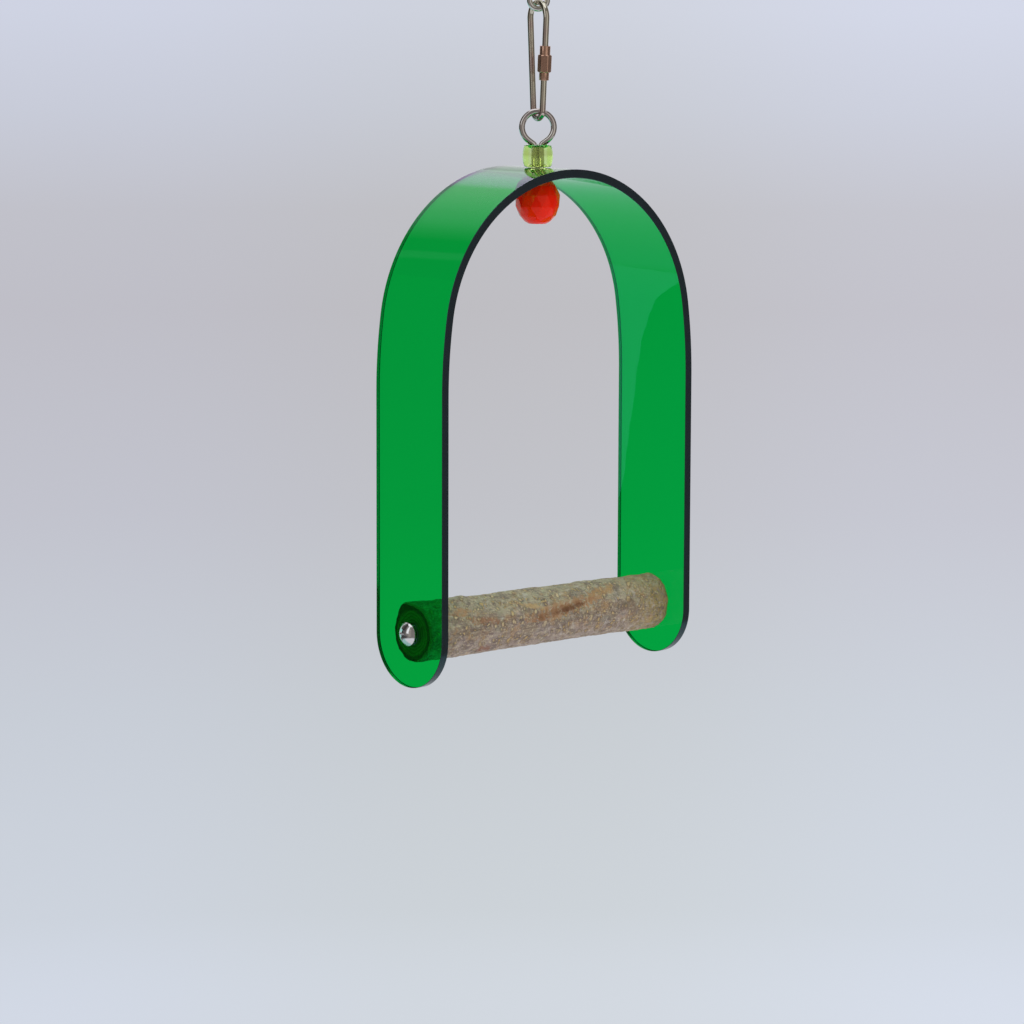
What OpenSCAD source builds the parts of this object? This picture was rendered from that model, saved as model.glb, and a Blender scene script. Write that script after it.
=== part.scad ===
// Bird swing: a bent acrylic arch with a branch perch, hung by a wire eye
// from a screw-gate link and a short chain. The origin is the hanging point,
// the inner top of the uppermost chain link. X runs across the arch, Y from
// front to back, Z up. Sizes are in millimetres.

/* [Arch] */
// Width across the outside of the two legs
arch_w = 118.6; // [100:0.1:140]
// Height from the outside of the crown to the tips of the legs
arch_h = 179; // [150:0.5:220]
// Width of the bent strip, front to back
strip_w = 35.4; // [28:0.1:44]
// Thickness of the strip
strip_t = 3; // [2:0.1:4.5]
// How much smaller the crown's radius is than half the width
crown_ease = 1.4; // [0.6:0.1:6]
// Outer radius of the long curves between the crown and the legs
haunch_r = 182; // [130:1:260]

/* [Perch] */
// Mean thickness of the branch
perch_d = 20; // [15:0.5:26]
// Height of the middle of the branch above the tips of the legs
perch_up = 19; // [16:0.5:30]
// Length of the bevel cut round each end of the branch
perch_bevel = 1.3; // [0.8:0.1:3]
// Depth of the bevel at the end face
perch_bevel_depth = 0.5; // [0.3:0.1:1.5]

/* [Screws] */
// Width of the domed screw head
head_d = 8.3; // [6.5:0.1:11]
// Height of the domed screw head
head_h = 2.9; // [2:0.1:4]
// Height of the straight rim below the dome
head_rim = 0.7; // [0.3:0.1:1.2]
// Thickness of the plain shank
shank_d = 4.2; // [3.4:0.1:5]
// Length of the plain shank, from the head
shank_len = 5; // [4.6:0.1:8]
// Thickness of the screw's core below the plain shank
core_d = 3; // [2:0.1:3.3]
// Length of the screw below its head
screw_len = 25; // [18:0.5:35]
// Length of the pointed tip
tip_len = 4; // [2:0.1:6]
// Length of each arm of the cross recess, end to end
recess_w = 4.4; // [3:0.1:5.4]
// Width of each arm of the cross recess
recess_arm = 0.9; // [0.5:0.1:1.4]
// Depth of the cross recess from the top of the dome
recess_depth = 1.7; // [0.8:0.1:2]
// Turn of the cross recess from upright
recess_turn = 20; // [0:5:85]

/* [Eye pin] */
// Thickness of the wire
pin_wire = 2.2; // [1.6:0.05:2.6]
// Gap between the two legs of the wire
leg_gap = 0.1; // [0.05:0.05:0.6]
// Outer width of the round eye
eye_d = 13.4; // [12:0.1:17]
// Height of the eye's middle above the upper bead
eye_stand = 6.1; // [5.9:0.1:8]
// Angle at which the round eye ends and the neck begins, from straight down
neck_angle = 36; // [24:1:38]
// Radius of the bend from the neck into the legs
neck_r = 1.6; // [1.3:0.1:2.4]
// Outward angle of the spread tips
spread_angle = 24; // [18:1:28]
// Radius of the bend that spreads the tips
spread_r = 3; // [2:0.1:4]
// Straight length of each spread tip
spread_len = 1; // [0.6:0.1:1.4]
// Chamfer on each spread tip
tip_chamfer = 0.2; // [0.05:0.05:0.4]

/* [Beads] */
// Width of the upper bead
upper_bead_d = 10.7; // [9.4:0.1:14]
// Height of the upper bead
upper_bead_h = 7.8; // [6:0.1:10]
// Rounding of the upper bead's rims
upper_bead_round = 1.45; // [1.2:0.05:1.6]
// Radius of the upper bead's barrel-shaped side
upper_bead_bulge = 12; // [8:0.5:30]
// Width of the faceted lower bead
lower_bead_d = 16; // [12:0.1:22]
// Height of the faceted lower bead
lower_bead_h = 16.4; // [13:0.1:22]
// Width of the countersink in the lower bead's underside
sink_d = 6.6; // [6.2:0.1:7]
// Depth of the countersink
sink_depth = 3.3; // [2.8:0.1:4.5]

/* [Screw-gate link] */
// Length of the link, outside
link_len = 42.75; // [38:0.25:56]
// Outer width of its wide end
link_top_w = 13.2; // [11:0.1:16]
// Outer width of its narrow end
link_low_w = 8.6; // [8:0.1:10]
// Thickness of the link's wire
link_wire = 2.2; // [1.8:0.05:2.3]
// Width of the opening in the gate leg
gate_gap = 5; // [3:0.1:6]
// Length of the gate leg's lower stub, from the bend to its tip
gate_stub = 13.5; // [11:0.1:15]
// Chamfer on the two tips beside the opening
gate_chamfer = 0.3; // [0.1:0.05:0.5]

/* [Sleeve] */
// Length of the sleeve
sleeve_len = 12; // [10:0.1:12.5]
// Length of wire that the closed sleeve holds below the opening
sleeve_grip = 3; // [2:0.1:3.4]
// Width of the sleeve's hexagon across its flats
sleeve_hex = 4.3; // [4:0.1:5.6]
// Length of the hexagon
sleeve_hex_len = 6.1; // [4:0.1:7]
// Thickness of the round collar above the hexagon
collar_top_d = 3.75; // [3.3:0.05:4]
// Thickness of the round collar below the hexagon
collar_low_d = 3.5; // [3.3:0.05:4]
// Length of the collar above the hexagon
collar_top_len = 3.1; // [2:0.1:3.4]

/* [Chain] */
// Thickness of the chain's wire
chain_wire = 2; // [1.6:0.05:2.3]
// Inner length of each chain link
chain_pitch = 12; // [10:0.1:16]
// Outer width of each chain link
chain_w = 8.2; // [7.8:0.1:11]

/* [Hanging angles] */
// Turn of the eye and of every second chain link about the hanging line
eye_turn = -41.5; // [-46:0.5:-36]
// Turn of the screw-gate link about the hanging line
link_turn = -101.5; // [-125:0.5:-100]

/* [Clearances] */
// Play between two wires that hang in each other
hang_play = 0.3; // [0.25:0.05:0.5]
// Play between each bead and the crown
bead_play = 0.2; // [0.1:0.05:0.4]
// Running clearance round the pin's two legs
pin_play = 0.1; // [0.05:0.01:0.3]
// Clearance round the screws, in the legs and in the branch
screw_fit = 0.05; // [0.02:0.01:0.2]
// Running clearance between the sleeve and the link's wire
sleeve_fit = 0.05; // [0.02:0.01:0.1]

/* [Hidden] */
$fn = 64;

// One overrun for every cut
over = 1;

// Straight wire is a hair thinner than its bends and laps into them, so that
// every join is one sound solid
wire_seam = 0.02;
wire_lap = 0.1;

// Levels down the hanging line, from the origin at the top link's inner top
top_link_z = 0;
middle_link_z = top_link_z - chain_pitch + hang_play;
lower_link_z = middle_link_z - chain_pitch + hang_play;
link_inner_top = lower_link_z - chain_pitch + hang_play;
link_top = link_inner_top + link_wire;
link_bottom = link_top - link_len;
eye_inner_top = link_bottom + link_wire + hang_play;
eye_r = (eye_d - pin_wire) / 2;
eye_z = eye_inner_top + pin_wire / 2 - eye_r;
upper_bead_top = eye_z - eye_stand;
upper_bead_z = upper_bead_top - upper_bead_h;
crown_z = upper_bead_z - bead_play;

// The arch, measured down from the outside of its crown
half_w = arch_w / 2;
crown_r = half_w - crown_ease;
haunch_rise = sqrt(pow(haunch_r - crown_r, 2) - pow(haunch_r - half_w, 2));
haunch_angle = asin(haunch_rise / (haunch_r - crown_r));
spring_drop = crown_r + haunch_rise;
tip_r = strip_w / 2;
tip_drop = arch_h - tip_r;
inner_half_w = half_w - strip_t;
crown_steps = 30;
haunch_steps = 6;
perch_z = crown_z - arch_h + perch_up;

// Thickness of the screw's blunt point, as a share of its core
tip_share = 0.12;

// The pin's legs and the holes that they pass through
leg_x = (pin_wire + leg_gap) / 2;
pin_r = leg_x + pin_wire / 2;
bore_r = pin_r + pin_play;
neck_x = eye_r * sin(neck_angle);
neck_len = (neck_x - neck_r * (1 - sin(neck_angle)) - leg_x) / cos(neck_angle);
neck_top_z = eye_z - eye_r * cos(neck_angle);
neck_low_x = neck_x - neck_len * cos(neck_angle);
neck_low_z = neck_top_z - neck_len * sin(neck_angle);
leg_top_z = neck_low_z - neck_r * cos(neck_angle);

// The lower bead's rings of corners, as shares of half its height and width
bead_sides = 10;
bead_height_shares = [1, 0.7, 0.26, -0.26, -0.7, -1];
bead_width_shares = [0.48, 0.8, 1, 1, 0.8, 0.48];

// The crown's underside curves down towards the rim of the lower bead's flat top
flat_r = lower_bead_d / 2 * bead_width_shares[0];
inner_r = crown_r - strip_t;
flat_drop = inner_r - sqrt(pow(inner_r, 2) - pow(flat_r, 2));

// The spread tips end just above the lower bead's underside
lower_bead_top = crown_z - strip_t - bead_play - flat_drop;
lower_bead_z = lower_bead_top - lower_bead_h / 2;
lower_bead_low = lower_bead_top - lower_bead_h;
tip_end_z = lower_bead_low + bead_play + pin_wire / 2 * sin(spread_angle);
spread_low_z = tip_end_z + spread_len * cos(spread_angle);
leg_low_z = spread_low_z + spread_r * sin(spread_angle);
spread_low_x = leg_x + spread_r * (1 - cos(spread_angle));
tip_end_x = spread_low_x + spread_len * sin(spread_angle);

// The screw-gate link's outline
link_top_r = (link_top_w - link_wire) / 2;
link_low_r = (link_low_w - link_wire) / 2;
link_top_mid = link_top - link_wire / 2 - link_top_r;
link_low_mid = link_bottom + link_wire / 2 + link_low_r;
link_mids = link_top_mid - link_low_mid;
link_taper = asin((link_top_r - link_low_r) / link_mids);
link_leg = link_mids * cos(link_taper);
sleeve_start = gate_stub - sleeve_grip;

// The chain link's straight stretch and bend
chain_r = (chain_w - chain_wire) / 2;
chain_straight = chain_pitch + chain_wire - 2 * chain_r;

// The branch's surface: rings along it, and knots placed by hand as
// [share of half its length, angle round it, height share, spread share, spread angle]
perch_len = 2 * inner_half_w;
perch_sides = 48;
perch_rings = 38;
knot_shares = [
    [-1, 62, 0.13, 0.16, 18],
    [-0.68, 100, 0.085, 0.1, 24],
    [-0.84, 92, 0.05, 0.1, 24],
    [-0.52, 232, 0.06, 0.06, 14],
    [-0.18, 100, 0.022, 0.24, 26],
    [0.22, 215, 0.035, 0.16, 26],
    [0.46, 72, 0.03, 0.18, 26],
    [0.82, 285, 0.035, 0.18, 26],
    [0.7, 160, 0.03, 0.2, 26]
];
wave_shares = [[0.012, 2, 130, 40], [0.014, 3, -95, 200], [0.007, 5, 240, 75], [0.005, 9, -410, 10]];

// Part of a bent wire: a torus arc in the XZ plane, from angle a to angle b
module bend(r, wire, a, b) {
    rotate([90, 0, 0])
        rotate_extrude(angle = b - a, start = a)
            translate([r, 0])
                circle(d = wire);
}

// Puts what follows at p in the XZ plane, with its Z along the line from p to q
module along(p, q) {
    translate([p[0], 0, p[1]])
        rotate([0, atan2(q[0] - p[0], q[1] - p[1]), 0])
            children();
}

// A straight piece of wire in the XZ plane, from bend p to bend q
module rod(p, q, wire) {
    along(p, q)
        translate([0, 0, -wire_lap])
            cylinder(h = norm(q - p) + 2 * wire_lap, d = wire - wire_seam);
}

// A straight piece of wire from bend p to a free end with a chamfer at q
module rod_end(p, q, wire, chamfer) {
    r = (wire - wire_seam) / 2;
    h = norm(q - p);
    along(p, q)
        rotate_extrude()
            polygon([[0, -wire_lap], [r, -wire_lap], [r, h - chamfer], [r - chamfer, h], [0, h]]);
}

// Points of one quarter of the arch's outline from its crown down to the leg,
// on the line that lies inset from the outside, in [across, up]
function arc_points(x, z, r, a, b, steps) =
    [for (i = [0:steps]) let (t = a + (b - a) * i / steps) [x + r * cos(t), z + r * sin(t)]];

function half_outline(inset) = concat(
    arc_points(0, -crown_r, crown_r - inset, 90, haunch_angle, crown_steps),
    arc_points(half_w - haunch_r, -spring_drop, haunch_r - inset, haunch_angle, 0, haunch_steps),
    [[half_w - inset, -tip_drop]]);

function mirrored(v) = [for (i = [len(v) - 1:-1:1]) [-v[i][0], v[i][1]]];

module arch() {
    outside = half_outline(0);
    inside = half_outline(strip_t);
    color([0.02, 0.58, 0.25, 0.75])
        translate([0, 0, crown_z])
            difference() {
                union() {
                    rotate([90, 0, 0])
                        linear_extrude(height = strip_w, center = true)
                            polygon(concat(mirrored(outside), outside,
                                reversed(inside), reversed(mirrored(inside))));
                    for (x = [-half_w, inner_half_w])
                        translate([x, 0, -tip_drop])
                            rotate([0, 90, 0])
                                cylinder(h = strip_t, r = tip_r);
                }
                translate([0, 0, -strip_t - over])
                    cylinder(h = strip_t + 2 * over, r = bore_r);
                translate([-half_w - over, 0, perch_z - crown_z])
                    rotate([0, 90, 0])
                        cylinder(h = arch_w + 2 * over, d = shank_d + 2 * screw_fit);
            }
}

// Height of a knot's swelling at one place on the bark
function knot(k, x, a) =
    let (along = (x - k[0]) / k[3], round = (((a - k[1] + 540) % 360) - 180) / k[4])
    k[2] * exp(-along * along - round * round);

// Waves in the bark, each [height share, count round, twist, start]
function waves(x, a) = [for (w = wave_shares) w[0] * sin(w[1] * a + w[2] * x + w[3])];

function reversed(v) = [for (i = [len(v) - 1:-1:0]) v[i]];

function total(v, i = 0) = i < len(v) ? v[i] + total(v, i + 1) : 0;

// Radius of the branch at a share of its half length and an angle
function bark_r(x, a) =
    perch_d / 2 * (1 + total(waves(x, a)) + total([for (k = knot_shares) knot(k, x, a)]));

// Distance from the end face: 0 at the face, 1 from the bevel inwards
function bevel_cut(i) = i == 0 || i == perch_rings + 1 ? perch_bevel_depth : 0;

// Place of each ring along the branch
function ring_x(i) =
    i == 0 ? -perch_len / 2
    : i == perch_rings + 1 ? perch_len / 2
    : -perch_len / 2 + perch_bevel + (perch_len - 2 * perch_bevel) * (i - 1) / (perch_rings - 1);

module branch() {
    n = perch_sides;
    last = perch_rings + 1;
    points = [for (i = [0:last], j = [0:n - 1])
        let (x = ring_x(i), a = 360 * j / n, r = bark_r(2 * x / perch_len, a) - bevel_cut(i))
        [x, r * cos(a), r * sin(a)]];
    sides = [for (i = [0:last - 1], j = [0:n - 1])
        let (k = (j + 1) % n)
        each [[i * n + j, (i + 1) * n + j, i * n + k], [i * n + k, (i + 1) * n + j, (i + 1) * n + k]]];
    ends = [[for (j = [0:n - 1]) j], [for (j = [n - 1:-1:0]) last * n + j]];
    polyhedron(points, concat(sides, ends));
}

// The hole that a screw leaves in the branch, from the left end inwards
module screw_bore() {
    step = shank_len - strip_t;
    translate([-inner_half_w - over, 0, 0])
        rotate([0, 90, 0])
            cylinder(h = step + over + screw_fit, d = shank_d + 2 * screw_fit);
    translate([-inner_half_w, 0, 0])
        rotate([0, 90, 0])
            cylinder(h = screw_len - strip_t + screw_fit, d = core_d + 2 * screw_fit);
}

module perch() {
    color([0.47, 0.40, 0.31])
        translate([0, 0, perch_z])
            difference() {
                branch();
                screw_bore();
                mirror([1, 0, 0])
                    screw_bore();
            }
}

// A round-head screw that stands on its head, its shank along +Z
module screw() {
    dome_h = head_h - head_rim;
    dome_r = (pow(head_d / 2, 2) + pow(dome_h, 2)) / (2 * dome_h);
    color([0.78, 0.79, 0.8])
        difference() {
            union() {
                translate([0, 0, -head_rim])
                    cylinder(h = head_rim, d = head_d);
                intersection() {
                    translate([0, 0, -head_h + dome_r])
                        sphere(r = dome_r);
                    translate([0, 0, -head_h])
                        cylinder(h = dome_h, d = head_d);
                }
                cylinder(h = shank_len, d = shank_d);
                cylinder(h = screw_len - tip_len, d = core_d);
                translate([0, 0, screw_len - tip_len])
                    cylinder(h = tip_len, d1 = core_d, d2 = core_d * tip_share);
            }
            for (turn = [0, 90])
                rotate([0, 0, turn + recess_turn])
                    translate([-recess_w / 2, -recess_arm / 2, -head_h - over])
                        cube([recess_w, recess_arm, recess_depth + over]);
        }
}

module left_screw() {
    translate([-half_w, 0, perch_z])
        rotate([0, 90, 0])
            screw();
}

module right_screw() {
    translate([half_w, 0, perch_z])
        rotate([0, -90, 0])
            screw();
}

// Half of the eye pin: neck, leg and spread tip on the +X side
module pin_side() {
    rod([neck_x, neck_top_z], [neck_low_x, neck_low_z], pin_wire);
    translate([leg_x + neck_r, 0, leg_top_z])
        bend(neck_r, pin_wire, 90 + neck_angle, 180);
    rod([leg_x, leg_low_z], [leg_x, leg_top_z], pin_wire);
    translate([leg_x + spread_r, 0, leg_low_z])
        bend(spread_r, pin_wire, 180, 180 + spread_angle);
    rod_end([spread_low_x, spread_low_z], [tip_end_x, tip_end_z], pin_wire, tip_chamfer);
}

module eye_pin() {
    color([0.74, 0.73, 0.71])
        rotate([0, 0, eye_turn]) {
            translate([0, 0, eye_z])
                bend(eye_r, pin_wire, neck_angle - 90, 270 - neck_angle);
            pin_side();
            mirror([1, 0, 0])
                pin_side();
        }
}

// The upper bead's section: rounded rims round a straight hole
module bead_section() {
    r = upper_bead_round;
    w = upper_bead_d / 2 - bore_r;
    intersection() {
        translate([bore_r, 0])
            union() {
                translate([r, 0])
                    square([w - 2 * r, upper_bead_h]);
                translate([0, r])
                    square([w, upper_bead_h - 2 * r]);
                for (x = [r, w - r], y = [r, upper_bead_h - r])
                    translate([x, y])
                        circle(r = r);
            }
        translate([upper_bead_d / 2 - upper_bead_bulge, upper_bead_h / 2])
            circle(r = upper_bead_bulge, $fn = 120);
    }
}

module upper_bead() {
    color([0.66, 0.85, 0.32, 0.8])
        translate([0, 0, upper_bead_z])
            rotate_extrude()
                bead_section();
}

// A ball cut into flat facets: rings of corners, each turned half a step
module faceted_ball() {
    n = bead_sides;
    rings = len(bead_height_shares);
    points = [for (i = [0:rings - 1], j = [0:n - 1])
        let (a = 360 * (j + (i % 2) / 2) / n, r = lower_bead_d / 2 * bead_width_shares[i])
        [r * cos(a), r * sin(a), lower_bead_h / 2 * bead_height_shares[i]]];
    facets = [for (i = [0:rings - 2], j = [0:n - 1])
        let (k = (j + 1) % n, up = i * n, down = (i + 1) * n)
        each i % 2 == 0
            ? [[up + j, up + k, down + j], [up + k, down + k, down + j]]
            : [[up + j, down + k, down + j], [up + j, up + k, down + k]]];
    ends = [[for (j = [n - 1:-1:0]) j], [for (j = [0:n - 1]) (rings - 1) * n + j]];
    polyhedron(points, concat(facets, ends));
}

module lower_bead() {
    color([0.78, 0.13, 0.02, 0.9])
        translate([0, 0, lower_bead_z])
            difference() {
                faceted_ball();
                translate([0, 0, -lower_bead_h / 2 - over])
                    cylinder(h = lower_bead_h + 2 * over, r = bore_r);
                translate([0, 0, -lower_bead_h / 2])
                    cylinder(h = sink_depth, d1 = sink_d, d2 = 2 * bore_r);
            }
}

// A place on the centre line of the gate leg, s up from its lower bend
function gate_point(s) = [
    link_low_r * cos(link_taper) + s * sin(link_taper),
    link_low_mid - link_low_r * sin(link_taper) + s * cos(link_taper)
];

module screw_link() {
    color([0.72, 0.71, 0.69])
        rotate([0, 0, link_turn]) {
            translate([0, 0, link_top_mid])
                bend(link_top_r, link_wire, -link_taper, 180 + link_taper);
            translate([0, 0, link_low_mid])
                bend(link_low_r, link_wire, 180 + link_taper, 360 - link_taper);
            mirror([1, 0, 0])
                rod(gate_point(0), gate_point(link_leg), link_wire);
            rod_end(gate_point(0), gate_point(gate_stub), link_wire, gate_chamfer);
            rod_end(gate_point(link_leg), gate_point(gate_stub + gate_gap), link_wire, gate_chamfer);
        }
}

module sleeve() {
    low_len = sleeve_len - sleeve_hex_len - collar_top_len;
    hex_d = sleeve_hex / cos(30);
    color([0.66, 0.60, 0.55])
        rotate([0, 0, link_turn])
            along(gate_point(sleeve_start), gate_point(link_leg))
                difference() {
                    union() {
                        cylinder(h = sleeve_len, d = collar_low_d);
                        translate([0, 0, low_len])
                            cylinder(h = sleeve_len - low_len, d = collar_top_d);
                        translate([0, 0, low_len])
                            intersection() {
                                cylinder(h = sleeve_hex_len, d = hex_d, $fn = 6);
                                hex_cut(hex_d);
                            }
                    }
                    translate([0, 0, -over])
                        cylinder(h = sleeve_len + 2 * over, d = link_wire + 2 * sleeve_fit);
                }
}

// The turned shape that rounds off the hexagon's corners
module hex_cut(hex_d) {
    drop = (hex_d - sleeve_hex) / 2;
    cylinder(h = drop, d1 = sleeve_hex, d2 = hex_d);
    translate([0, 0, drop])
        cylinder(h = sleeve_hex_len - 2 * drop, d = hex_d);
    translate([0, 0, sleeve_hex_len - drop])
        cylinder(h = drop, d1 = hex_d, d2 = sleeve_hex);
}

// One oval chain link, its inner top at z
module chain_link(z, turn) {
    mid = z - chain_pitch / 2;
    half = chain_straight / 2;
    color([0.73, 0.72, 0.7])
        translate([0, 0, mid])
            rotate([0, 0, turn]) {
                translate([0, 0, half])
                    bend(chain_r, chain_wire, 0, 180);
                translate([0, 0, -half])
                    bend(chain_r, chain_wire, 180, 360);
                for (x = [-chain_r, chain_r])
                    rod([x, -half], [x, half], chain_wire);
            }
}

module lower_link() { chain_link(lower_link_z, eye_turn); }
module middle_link() { chain_link(middle_link_z, eye_turn + 90); }
module top_link() { chain_link(top_link_z, eye_turn); }

arch();
perch();
left_screw();
right_screw();
eye_pin();
upper_bead();
lower_bead();
screw_link();
sleeve();
lower_link();
middle_link();
top_link();
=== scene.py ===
import math

import bmesh
import bpy
import numpy as np
from mathutils import Matrix, Vector
from mathutils.geometry import delaunay_2d_cdt


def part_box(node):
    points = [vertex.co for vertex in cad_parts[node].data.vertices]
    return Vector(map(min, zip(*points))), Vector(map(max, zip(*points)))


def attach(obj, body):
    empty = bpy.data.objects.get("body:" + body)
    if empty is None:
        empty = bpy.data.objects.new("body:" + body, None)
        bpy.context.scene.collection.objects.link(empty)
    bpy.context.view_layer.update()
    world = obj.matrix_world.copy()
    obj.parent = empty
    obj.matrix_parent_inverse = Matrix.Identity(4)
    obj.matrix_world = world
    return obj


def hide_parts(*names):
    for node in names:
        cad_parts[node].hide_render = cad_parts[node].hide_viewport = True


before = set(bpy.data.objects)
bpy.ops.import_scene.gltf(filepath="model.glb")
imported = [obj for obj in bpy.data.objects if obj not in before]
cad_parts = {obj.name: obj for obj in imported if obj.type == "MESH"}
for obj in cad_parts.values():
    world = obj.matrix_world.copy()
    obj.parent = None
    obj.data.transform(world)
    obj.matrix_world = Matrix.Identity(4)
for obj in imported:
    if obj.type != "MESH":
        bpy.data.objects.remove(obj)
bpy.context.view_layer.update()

# The looks of a bird swing: a bent green acrylic arch with a branch perch, hung by a wire eye
# from a screw-gate link and a chain. Lengths are in metres, and MM turns millimetres into metres.
MM = 0.001
WHITE = (1.0, 1.0, 1.0)
BLACK = (0.0, 0.0, 0.0)

# Camera, worked out from the arch's outline in the photograph
CAMERA_AT = Vector((-0.92926, -1.03452, -0.02354))
CAMERA_RIGHT = Vector((0.74839, -0.66325, 0.003457))
CAMERA_FORWARD = Vector((0.657456, 0.741144, -0.135858))
CAMERA_LENS = 138.49
CAMERA_SENSOR = 36

# Arch
STRIP_T = 3 * MM
CROWN_EASE = 1.4 * MM
HAUNCH_R = 182 * MM
EDGE_ROUND = 0.16 * MM
SCREW_HOLE_R = 2.15 * MM
PIN_HOLE_R = 2.35 * MM
PERCH_UP = 19 * MM

# Wires
PIN_WIRE = 2.2 * MM
PIN_TIP_DROP = 0.25 * MM
LEG_GAP = 0.1 * MM
EYE_D = 13.4 * MM
NECK_ANGLE = 36
NECK_R = 1.6 * MM
SPREAD_ANGLE = 24
SPREAD_R = 3 * MM
SPREAD_LEN = 1 * MM
EYE_TURN = -41.5
LINK_TURN = -101.5
LINK_WIRE = 2.2 * MM
LINK_LEN = 42.75 * MM
LINK_TOP_W = 13.2 * MM
LINK_LOW_W = 8.6 * MM
LINK_TIP_ROUND = 0.3 * MM
GATE_STUB = 13.5 * MM
GATE_GAP = 5 * MM
GATE_THREAD_LOW = 2.9 * MM
GATE_THREAD_TOP = 3.6 * MM
GATE_PITCH = 0.6 * MM
GATE_THREAD_DEPTH = 0.17 * MM
CHAIN_WIRE = 2 * MM
CHAIN_W = 8.2 * MM
WELD_HEIGHT = 0.07 * MM
WELD_SPREAD = 0.55 * MM
WIRE_SIDES = 36

# Sleeve
SLEEVE_LEN = 12 * MM
SLEEVE_GRIP = 3 * MM
SLEEVE_HEX = 4.3 * MM
SLEEVE_HEX_LEN = 6.1 * MM
SLEEVE_CORNER_CUT = 0.05 * MM
SLEEVE_ROUND = 0.14 * MM
SLEEVE_FILLET = 0.02 * MM
COLLAR_TOP_D = 3.75 * MM
COLLAR_LOW_D = 3.5 * MM
COLLAR_TOP_LEN = 3.1 * MM
SLEEVE_BORE_D = 2.3 * MM
SLEEVE_BORE_CUT = 0.2 * MM
SLEEVE_SIDES = 144

# Beads
UPPER_ROUND = 1.45 * MM
UPPER_BULGE = 12 * MM
UPPER_SIDES = 96
BEAD_R = 8 * MM
BEAD_SIDES = 12
BEAD_HEIGHT_SHARES = (1, 0.9, 0.66, 0.24, -0.24, -0.66, -0.9, -1)
BEAD_WIDTH_SHARES = (0.42, 0.58, 0.81, 0.99, 0.99, 0.81, 0.58, 0.42)
BEAD_EDGE_ROUND = 0.12 * MM
BEAD_SHARP = 12
SINK_D = 6.6 * MM
SINK_DEPTH = 3.3 * MM

# Branch, with its knots as (share of half its length, angle, height share, spread share, spread
# angle) and its waves as (height share, count round, twist, start)
PERCH_D = 20 * MM
PERCH_BEVEL = 1.3 * MM
PERCH_BEVEL_DEPTH = 0.5 * MM
PERCH_END_GAP = 0.04 * MM
PERCH_SIDES = 168
KNOT_SHARES = (
    (-1, 62, 0.13, 0.16, 18), (-0.68, 100, 0.085, 0.1, 24), (-0.84, 92, 0.05, 0.1, 24),
    (-0.52, 232, 0.06, 0.06, 14), (-0.18, 100, 0.022, 0.24, 26), (0.22, 215, 0.035, 0.16, 26),
    (0.46, 72, 0.03, 0.18, 26), (0.82, 285, 0.035, 0.18, 26), (0.7, 160, 0.03, 0.2, 26))
WAVE_SHARES = ((0.012, 2, 130, 40), (0.014, 3, -95, 200), (0.007, 5, 240, 75), (0.005, 9, -410, 10))
# Layers of relief as (height in mm, cells along and round, seed), and one small knot as (place
# along, angle, height, spread along, spread angle)
RELIEF = ((0.12, (26, 14), 3), (0.14, (60, 34), 5), (0.11, (130, 56), 8), (0.06, (22, 70), 13))
SMALL_KNOT = (-36 * MM, 98, 0.5 * MM, 2.6 * MM, 22)

# Screws
HEAD_D = 8.3 * MM
HEAD_H = 2.9 * MM
HEAD_RIM = 0.7 * MM
HEAD_EDGE_ROUND = 0.15 * MM
HEAD_LIFT = 0.02 * MM
SHANK_D = 4.2 * MM
SHANK_LEN = 5 * MM
CORE_D = 3 * MM
SCREW_LEN = 25 * MM
SCREW_SIDES = 72
SCREW_SHARP = 40
THREAD_PITCH = 1.7 * MM
THREAD_STEP = 0.14 * MM
THREAD_WIDTH_SHARE = 0.34
TIP_LEN = 4 * MM
RECESS_W = 4.4 * MM
RECESS_ARM = 0.9 * MM
RECESS_DEPTH = 1.7 * MM
RECESS_TURN = 20

# The paper floor, which curves up into a wall, and the colours of its painted glow at shares of its height,
# dimmer part way up
FLOOR_Z = -0.85
FLOOR_START = 0.02
WALL_R = 2.6
WALL_CURVE = 0.9
WALL_TOP = 1.0
STAGE_SIDES = 128
PAPER_RISE = 0.80
PAPER_TONES = (
    (0.0, (0.638, 0.680, 0.738)), (0.034, (0.604, 0.644, 0.685)), (0.19, (0.571, 0.604, 0.640)),
    (0.39, (0.533, 0.539, 0.578)), (0.62, (0.515, 0.509, 0.539)), (0.74, (0.527, 0.527, 0.558)),
    (0.86, (0.571, 0.591, 0.651)), (0.985, (0.617, 0.644, 0.723)))

# The card's far side is straight, and its near side is given as (away from its middle, height)
CARD_MIDDLE = Vector((-0.25, 0.357, 0))
CARD_FAR = 0.3
CARD_NEAR = (
    (-0.018, -0.15), (-0.0173, -0.205), (-0.0164, -0.225), (-0.0142, -0.24), (-0.0123, -0.256),
    (-0.0102, -0.272), (-0.0072, -0.286), (-0.0028, -0.305), (0.004, -0.331), (0.0113, -0.354),
    (0.019, -0.376), (0.035, -0.42))

# The room as gloss sees it, in patches of (azimuth, height, colour), the first two as (low, high,
# softness): a dim part, a lighter part, a bright strip and the dark gap that the near leg mirrors
ROOM_PATCHES = (
    ((-160, -138, 3), (-20, 40, 3), (0.34, 0.31, 0.28)),
    ((122, 168, 4), (-20, 40, 3), (0.62, 0.59, 0.55)),
    ((-140, -122, 2), (4, 58, 2), (1.15, 1.17, 1.2)),
    ((-102, -59, 2), (-28, 62, 2), (0.045, 0.04, 0.035)))
PAPER_EDGE = ((-69.5, -66.5, 0.8), (20, 48, 2), (0.22, 0.22, 0.23))


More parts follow.
